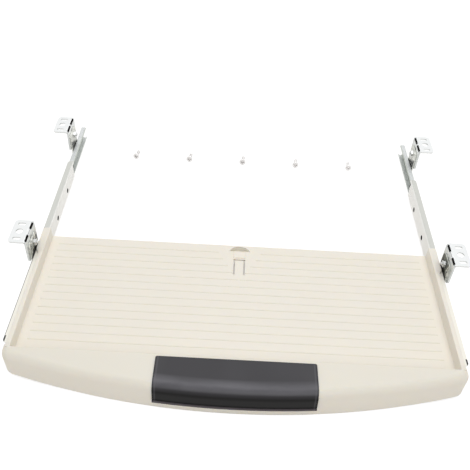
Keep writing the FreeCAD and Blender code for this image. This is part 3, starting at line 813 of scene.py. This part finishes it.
class Lathe:
    """Builds a mesh from rings of points that stand round a local +Y axis."""

    def __init__(self, around: int = 48) -> None:
        """Start an empty mesh.

        Args:
            around: Points in each ring.
        """
        self.around = around
        self.mesh = bmesh.new()

    def turn(self, place: Matrix, rings: Sequence[Ring], hollow: bool = False) -> None:
        """Add one closed form.

        Args:
            place: Where its own frame goes.
            rings: Place along the axis and radius at an angle, ring by ring.
            hollow: Whether the last ring joins the first, as in a nut; otherwise both ends are closed.
        """
        loops = [self._loop(place, ring) for ring in rings]
        pairs = list(zip(loops, loops[1:]))
        if hollow:
            pairs.append((loops[-1], loops[0]))
        for first, second in pairs:
            for i in range(self.around):
                j = (i + 1) % self.around
                self.mesh.faces.new((first[i], second[i], second[j], first[j]))
        if not hollow:
            for ring, loop in ((rings[0], loops[0]), (rings[-1], loops[-1])):
                middle = self.mesh.verts.new(place @ Vector((0, ring(0.0)[0], 0)))
                for i in range(self.around):
                    self.mesh.faces.new((middle, loop[i], loop[(i + 1) % self.around]))

    def _loop(self, place: Matrix, ring: Ring) -> list[bmesh.types.BMVert]:
        """Make the points of one ring.

        Args:
            place: Where the form's own frame goes.
            ring: Place along the axis and radius at an angle.

        Returns:
            The points, in order round the axis.
        """
        points = []
        for i in range(self.around):
            angle = 2 * math.pi * i / self.around
            along, radius = ring(angle)
            local = Vector((radius * math.cos(angle), along, radius * math.sin(angle)))
            points.append(self.mesh.verts.new(place @ local))
        return points

    def lowest(self) -> float:
        """Z of the lowest point."""
        return min(vert.co.z for vert in self.mesh.verts)

    def raise_by(self, rise: float) -> None:
        """Move everything up."""
        bmesh.ops.translate(self.mesh, verts=self.mesh.verts, vec=(0, 0, rise))

    def finish(self, name: str) -> bpy.types.Mesh:
        """Close the work.

        Args:
            name: The mesh's name.

        Returns:
            The mesh, smooth apart from its sharp edges.
        """
        for face in self.mesh.faces:
            face.smooth = True
        made = to_mesh(self.mesh, name)
        made.set_sharp_from_angle(angle=SHARP_FROM)
        return made


def to_mesh(work: bmesh.types.BMesh, name: str) -> bpy.types.Mesh:
    """Turn a work mesh into a mesh with its faces outward, and free it.

    Args:
        work: The work mesh.
        name: The mesh's name.

    Returns:
        The mesh.
    """
    bmesh.ops.recalc_face_normals(work, faces=work.faces)
    made = bpy.data.meshes.new(name)
    work.to_mesh(made)
    work.free()
    return made


def flat_ring(along: float, radius: float) -> Ring:
    """A round ring square to the axis."""
    return lambda angle: (along, radius)


def hexagon_radius(angle: float, width: float) -> float:
    """Radius of a hexagon of a width across flats at an angle."""
    return width / 2 / math.cos((angle + math.pi / 6) % (math.pi / 3) - math.pi / 6)


@dataclass(frozen=True)
class Thread:
    """An outside thread."""

    crest: float
    root: float
    pitch: float
    flank: float = 0.34
    rings_per_turn: int = 10
    fewest_rings: int = 8
    tip: float = 0.15
    tip_ridge: float = 0.3

    def rings(self, start: float, end: float, taper: float = 0.0) -> list[Ring]:
        """Rings of a threaded length.

        Args:
            start: Where the thread starts along the axis.
            end: Where it ends, at the point.
            taper: Length of the pointed end.

        Returns:
            The rings from start to end.
        """
        def radius(angle: float, y: float) -> float:
            """Radius at an angle and a place along the axis.

            Args:
                angle: The angle round the axis.
                y: The place along the axis.

            Returns:
                The radius.
            """
            left = min(1.0, abs(end - y) / taper) if taper else 1.0
            grown = min(1.0, abs(y - start) / self.pitch)
            phase = (y / self.pitch - angle / (2 * math.pi)) % 1.0
            ridge = max(0.0, 1 - abs(phase - 0.5) / self.flank) * (self.crest - self.root) / 2
            core = self.root / 2 * (self.tip + (1 - self.tip) * left)
            return core + ridge * grown * (self.tip_ridge + (1 - self.tip_ridge) * left)

        count = max(self.fewest_rings, int(abs(end - start) / self.pitch * self.rings_per_turn))
        places = [start + (end - start) * i / count for i in range(count + 1)]
        return [lambda angle, y=y: (y, radius(angle, y)) for y in places]


@dataclass(frozen=True)
class HexScrew:
    """A hexagon screw with its head along +Y and its seat at Y = 0."""

    diameter: float
    pitch: float
    length: float
    width: float
    height: float
    flange: float = 0.0
    flange_height: float = 0.0
    chamfer: float = 0.94
    thread_depth: float = 1.1
    end_share: float = 0.42
    flange_edge: float = 0.6
    flange_round: float = 0.0004
    dish: float = 0.0003
    dish_shares: tuple[float, float] = (0.62, 0.5)

    def rings(self) -> list[Ring]:
        """List the rings of the screw.

        Returns:
            The rings from its end to the top of its head.
        """
        root = self.diameter - self.thread_depth * self.pitch
        thread = Thread(self.diameter, root, self.pitch)
        rings = [flat_ring(-self.length, root * self.end_share)]
        rings += thread.rings(-self.length + self.pitch / 2, -self.pitch / 2)
        rings.append(flat_ring(0.0, self.diameter / 2))
        if self.flange:
            rim = self.flange / 2
            rings += [
                flat_ring(0.0, rim), flat_ring(self.flange_height * self.flange_edge, rim),
                flat_ring(self.flange_height, rim - self.flange_round)]
        top = self.flange_height + self.height
        face = self.width / 2 * self.chamfer
        outer, inner = self.dish_shares

        def head(angle: float) -> float:
            """Radius of the head at an angle."""
            return hexagon_radius(angle, self.width)

        return rings + [
            lambda angle: (self.flange_height, head(angle)),
            lambda angle: (top - (head(angle) - face) * CHAMFER_SLOPE, head(angle)),
            flat_ring(top, face), flat_ring(top, face * outer), flat_ring(top - self.dish, face * inner)]


@dataclass(frozen=True)
class HexNut:
    """A hexagon nut along +Y with chamfered corners and bore."""

    bore: float
    width: float
    height: float
    chamfer: float = 0.94
    lead: float = 0.0003

    def rings(self) -> list[Ring]:
        """List the rings of the nut.

        Returns:
            The rings from its bore round its outside.
        """
        face = self.width / 2 * self.chamfer
        bore = self.bore / 2
        mouth = bore + self.lead

        def slope(angle: float) -> float:
            """Height that the chamfer takes at an angle."""
            return (hexagon_radius(angle, self.width) - face) * CHAMFER_SLOPE

        return [
            flat_ring(self.lead, bore), flat_ring(0.0, mouth), flat_ring(0.0, face),
            lambda angle: (slope(angle), hexagon_radius(angle, self.width)),
            lambda angle: (self.height - slope(angle), hexagon_radius(angle, self.width)),
            flat_ring(self.height, face), flat_ring(self.height, mouth),
            flat_ring(self.height - self.lead, bore)]


def outward(side: Side, x: float, y: float, z: float) -> Matrix:
    """Frame at a distance from the middle whose +Y points away from the middle.

    Args:
        side: The side it is on.
        x: Distance from the middle plane.
        y: Place from front to rear.
        z: Height.

    Returns:
        The frame.
    """
    turn = Matrix.Rotation(math.radians(-90 * side.value), 4, "Z")
    return Matrix.Translation((side.value * x, y, z)) @ turn


def downward(x: float, y: float, z: float) -> Matrix:
    """Frame at a point whose +Y points down."""
    return Matrix.Translation((x, y, z)) @ Matrix.Rotation(math.radians(-90), 4, "X")


@dataclass
class MouldedTray:
    """The tray moulding, its pull handle and the screws that hold them."""

    handle_screw: HexScrew = HexScrew(0.0029, 0.0008, 0.0022, 0.0100, 0.0020)
    handle_screw_x: float = 0.062
    handle_screw_y: float = -0.2893
    handle_screw_z: float = -0.032
    tray_screw: HexScrew = HexScrew(0.0031, 0.0009, 0.0070, 0.0070, 0.0022)
    tray_screw_x: float = 0.2422
    tray_screw_ys: tuple[float, float] = (-0.1225, -0.2275)
    tray_screw_z: float = -0.057

    def build(self, finishes: Finishes) -> None:
        """Dress the mouldings and make their screws.

        Args:
            finishes: The object's finishes.
        """
        dress("tray_shell", finishes.tray)
        dress("pull_handle", finishes.handle)
        x, y, z = self.handle_screw_x, self.handle_screw_y, self.handle_screw_z
        places = [downward(side.value * x, y, z) for side in Side]
        self._screws("handle_hex_screws", self.handle_screw, places, "handle_screws", finishes)
        for side in Side:
            x = side.value * self.tray_screw_x
            places = [downward(x, y, self.tray_screw_z) for y in self.tray_screw_ys]
            name = f"tray_hex_screws_{side.word}"
            self._screws(name, self.tray_screw, places, f"tray_screws_{side.word}", finishes)

    @staticmethod
    def _screws(name: str, screw: HexScrew, places: Iterable[Matrix], node: str, finishes: Finishes) -> None:
        """Make screws in place of a plain node.

        Args:
            name: The new piece's name.
            screw: The screw.
            places: The frames of their seats.
            node: The node that they replace.
            finishes: The object's finishes.
        """
        lathe = Lathe()
        for place in places:
            lathe.turn(place, screw.rings())
        piece = new_piece(name, lathe.finish(name), finishes.fastener, "tray")
        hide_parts(node)


@dataclass
class Slides:
    """The side arms and their ball-bearing slides."""

    def build(self, finishes: Finishes) -> None:
        """Dress the arms, rails, cages, balls, rivets and bumpers.

        Args:
            finishes: The object's finishes.
        """
        wear = {
            "side_arm": finishes.arm, "rail_rivets": finishes.fastener, "inner_rail": finishes.rail,
            "outer_rail": finishes.rail, "ball_cage": finishes.rail, "steel_balls": finishes.ball,
            "rail_bumper": finishes.rubber}
        for side in Side:
            for node, material in wear.items():
                dress(f"{node}_{side.word}", material)


@dataclass
class DeskBrackets:
    """The desk brackets, the hangers that they clamp, and the bolts and nuts between them."""

    bolt: HexScrew = HexScrew(0.0050, 0.0008, 0.0098, 0.0080, 0.0034, 0.0110, 0.0010)
    nut: HexNut = HexNut(0.0051, 0.0080, 0.0040)
    seat_x: float = 0.2614
    nut_x: float = 0.2536
    clamp_z: float = -0.017
    bracket_y: float = 0.118
    bend_x: float = 0.2628
    bend_z: float = -0.0035
    # Size and shape of the black strips of painted shade in the bend slits.
    strip_inner: float = 0.0017
    strip_outer: float = 0.0036
    strip_half_width: float = 0.0015
    strip_angle: float = 135.0
    strip_steps: int = 5
    front_strip: tuple[float, float] = (0.0118, 0.0115)
    rear_strip: tuple[float, float] = (0.0155, 0.00965)

    def build(self, finishes: Finishes) -> None:
        """Dress the sheet parts and make the hardware.

        Args:
            finishes: The object's finishes.
        """
        for side in Side:
            bolts, nuts = Lathe(), Lathe()
            for place in Place:
                dress(f"bracket_{place.word}_{side.word}", finishes.bracket)
                dress(f"hanger_{place.word}_{side.word}", finishes.hanger)
                y = place.value * self.bracket_y
                bolts.turn(outward(side, self.seat_x, y, self.clamp_z), self.bolt.rings())
                nuts.turn(outward(side, self.nut_x, y, self.clamp_z), self.nut.rings(), hollow=True)
            for lathe, name in ((bolts, "clamp_bolts"), (nuts, "clamp_nuts")):
                mesh = lathe.finish(f"threaded_{name}_{side.word}")
                piece = new_piece(mesh.name, mesh, finishes.fastener, "rails")
                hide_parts(f"{name}_{side.word}")
        # Black strips of painted shade stand in the bend slits, which show only shade.
        new_piece("slit_painted_shade", self._liners(), finishes.rubber, "desk_brackets")

    def _liners(self) -> bpy.types.Mesh:
        """Make the black strips of painted shade in the slits along the bends.

        Returns:
            One mesh of all the strips.
        """
        work = bmesh.new()
        for side in Side:
            section = self._liner_section(side)
            for place in Place:
                length, offset = self.front_strip if place is Place.FRONT else self.rear_strip
                for y in (place.value * self.bracket_y - offset, place.value * self.bracket_y + offset):
                    ends = [
                        [work.verts.new((x, y + half, z)) for x, z in section]
                        for half in (-length / 2, length / 2)]
                    for i in range(len(section)):
                        j = (i + 1) % len(section)
                        work.faces.new((ends[0][i], ends[0][j], ends[1][j], ends[1][i]))
                    for end in ends:
                        work.faces.new(end)
        return to_mesh(work, "slit_painted_shade")

    def _liner_section(self, side: Side) -> list[tuple[float, float]]:
        """Trace a strip's section round the bend.

        Args:
            side: The side it is on.

        Returns:
            X and Z of its corners, in order.
        """
        section = []
        for radius, order in ((self.strip_outer, 1), (self.strip_inner, -1)):
            reach = self.strip_half_width / radius
            for i in range(self.strip_steps)[::order]:
                angle = math.radians(self.strip_angle) - reach + 2 * reach * i / (self.strip_steps - 1)
                x = side.value * (self.bend_x + radius * math.cos(angle))
                section.append((x, self.bend_z + radius * math.sin(angle)))
        return section


@dataclass
class LooseScrews:
    """Countersunk wood screws in a row behind the tray, heads to the front."""

    count: int = 5
    pitch: float = 0.083
    tip_y: float = 0.1485
    floor_z: float = -0.0615
    length: float = 0.024
    thread: Thread = Thread(0.0042, 0.0028, 0.0020, 0.24)
    point: float = 0.006
    turned: float = 5.0
    head: float = 0.0094
    head_height: float = 0.0030
    head_edge: float = 0.0003
    cone_middle: tuple[float, float] = (0.5, 0.37)
    neck: float = 0.0004
    bare_neck: float = 0.001
    face_shares: tuple[float, ...] = (0.12, 0.24, 0.36, 0.48, 0.6, 0.8, 0.97)
    recess: float = 0.0054
    recess_width: float = 0.0015
    recess_depth: float = 0.0018

    def build(self, finishes: Finishes) -> None:
        """Make the screws in place of the plain ones.

        Args:
            finishes: The object's finishes.
        """
        lathe = Lathe()
        lean = Matrix.Rotation(-math.asin(self.head / 2 / self.length), 4, "X")
        yaw = Matrix.Rotation(math.radians(-self.turned), 4, "Z")
        rings = self._rings()
        for index in range(self.count):
            x = (index - (self.count - 1) / 2) * self.pitch
            lathe.turn(Matrix.Translation((x, self.tip_y - self.length, 0)) @ yaw @ lean, rings)
        lathe.raise_by(self.floor_z - lathe.lowest())
        mesh = lathe.finish("wood_screws")
        piece = new_piece("wood_screws", mesh, finishes.screw, "desk_brackets")
        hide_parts("mounting_screws")

    def _rings(self) -> list[Ring]:
        """List the rings of one screw.

        Returns:
            The rings from the middle of its head to its point.
        """
        face = [lambda angle, share=share: self._head_face(angle, share) for share in self.face_shares]
        depth, width = self.cone_middle
        cone = [
            flat_ring(self.head_edge, self.head / 2),
            flat_ring(self.head_height * depth, self.head * width),
            flat_ring(self.head_height, self.thread.root / 2 + self.neck)]
        return face + cone + self.thread.rings(self.head_height + self.bare_neck, self.length, self.point)

    def _head_face(self, angle: float, share: float) -> tuple[float, float]:
        """Trace the head's face with its cross recess.

        Args:
            angle: The angle round the axis.
            share: Share of the head's radius.

        Returns:
            Depth and radius.
        """
        radius = self.head / 2 * share
        narrow, wide = sorted((abs(radius * math.cos(angle)), abs(radius * math.sin(angle))))
        inside = narrow < self.recess_width / 2 and wide < self.recess / 2
        return (self.recess_depth if inside else 0.0), radius


@dataclass(frozen=True)
class Lamp:
    """A square area lamp that faces a point."""

    name: str
    place: Point
    aim: Point
    size: float
    power: float

    def hang(self) -> None:
        """Put the lamp into the scene."""
        data = bpy.data.lights.new(self.name, "AREA")
        data.size = self.size
        data.energy = self.power
        lamp = bpy.data.objects.new(self.name, data)
        lamp.location = self.place
        lamp.rotation_mode = "QUATERNION"
        lamp.rotation_quaternion = (Vector(self.aim) - Vector(self.place)).to_track_quat("-Z", "Y")
        bpy.context.scene.collection.objects.link(lamp)


@dataclass
class Studio:
    """Pale floor, soft lamps and the camera."""

    floor_z: float = -0.0615
    floor_size: float = 6.0
    floor_colour: Colour = (0.95, 0.925, 0.885)
    floor_glow: float = 1.15
    floor_seen: float = 0.85
    corner_painted_shade: Colour = (0.85, 0.74, 0.6)
    corner_reach: float = 0.03
    tint_fade: Band = (0.15, 0.4)
    shadow_fade: Band = (0.1, 0.5)
    world_level: float = 0.5
    overhead: Lamp = Lamp("overhead", (0.1, 0.35, 1.9), (0.0, -0.1, -0.05), 1.8, 19.4)
    front_fill: Lamp = Lamp("front_fill", (0.2, -1.8, 1.5), (0.0, -0.25, -0.05), 0.9, 6.8)
    camera_place: Point = (-0.0169, -0.6956, 0.5474)
    camera_pitch: float = 47.21
    camera_roll: float = 3.706
    camera_yaw: float = -0.887
    lens: float = 49.56

    def build(self) -> None:
        """Make the floor, the light and the camera."""
        self._floor()
        self._world()
        self.overhead.hang()
        self.front_fill.hang()
        self._camera()

    def _floor(self) -> None:
        """A white floor at the level of the tray's lower edge."""
        half = self.floor_size / 2
        mesh = bpy.data.meshes.new("studio_floor")
        corners = [(half * x, half * y, self.floor_z) for x, y in ((-1, -1), (1, -1), (1, 1), (-1, 1))]
        mesh.from_pydata(corners, [], [(0, 1, 2, 3)])
        mesh.materials.append(self._floor_material())
        floor = bpy.data.objects.new("studio_floor", mesh)
        bpy.context.scene.collection.objects.link(floor)

    def _floor_material(self) -> bpy.types.Material:
        """Make the floor's finish, which shows as white, keeps the object's shadow and has a painted warm
        shade where the object hems it in.

        Returns:
            The material.
        """
        sheet = Sheet("studio_white")
        seen = sheet.ray("Is Camera Ray") + sheet.ray("Is Glossy Ray") + sheet.ray("Is Transmission Ray")
        matt = sheet.node("ShaderNodeBsdfDiffuse", {}, {"Color": (*self.floor_colour, 1.0)})
        reach = {"Distance": self.corner_reach}
        clear = sheet.node("ShaderNodeAmbientOcclusion", {"samples": 8}, reach, output="AO")
        # Painted shade: where the object hems the floor in, its glow turns warm and darker.
        warm, white = (
            sheet.node("ShaderNodeEmission", {}, {"Color": (*tint, 1.0), "Strength": self.floor_glow})
            for tint in (self.corner_painted_shade, WHITE))
        untinted = sheet.rise(clear, self.tint_fade)
        glow = sheet.node("ShaderNodeMixShader", {}, {"Fac": untinted, 1: warm, 2: white})
        share = seen * sheet.rise(clear, self.shadow_fade) * self.floor_seen
        return sheet.surface(sheet.node("ShaderNodeMixShader", {}, {"Fac": share, 1: matt, 2: glow}))

    def _world(self) -> None:
        """Soft white light from all round, shown as white in metal."""
        world = bpy.data.worlds.new("studio_world")
        bpy.context.scene.world = world
        world.use_nodes = True
        tree = NodeTree(world.node_tree)
        seen = tree.ray("Is Camera Ray") + tree.ray("Is Glossy Ray")
        strength = self.world_level + seen * (1.0 - self.world_level)
        back = tree.node("ShaderNodeBackground", {}, {"Color": (*WHITE, 1.0), "Strength": strength})
        tree.node("ShaderNodeOutputWorld", {}, {"Surface": back})

    def _camera(self) -> None:
        """The camera at the photograph's place."""
        data = bpy.data.cameras.new("photo_camera")
        data.lens = self.lens
        data.sensor_width = 36.0
        data.clip_start = 0.01
        data.clip_end = 50.0
        camera = bpy.data.objects.new("photo_camera", data)
        turn = Matrix.Identity(4)
        for angle, axis in ((self.camera_yaw, "Z"), (self.camera_pitch, "X"), (self.camera_roll, "Z")):
            turn = turn @ Matrix.Rotation(math.radians(angle), 4, axis)
        camera.matrix_world = Matrix.Translation(self.camera_place) @ turn
        bpy.context.scene.collection.objects.link(camera)
        bpy.context.scene.camera = camera
        bpy.context.scene.view_settings.view_transform = "Standard"


def main() -> None:
    """Build the looks piece by piece."""
    logging.basicConfig(level=logging.INFO)
    Studio().build()
    finishes = Finishes()
    for assembly in (MouldedTray(), Slides(), DeskBrackets(), LooseScrews()):
        assembly.build(finishes)


if __name__ == "__main__":
    main()
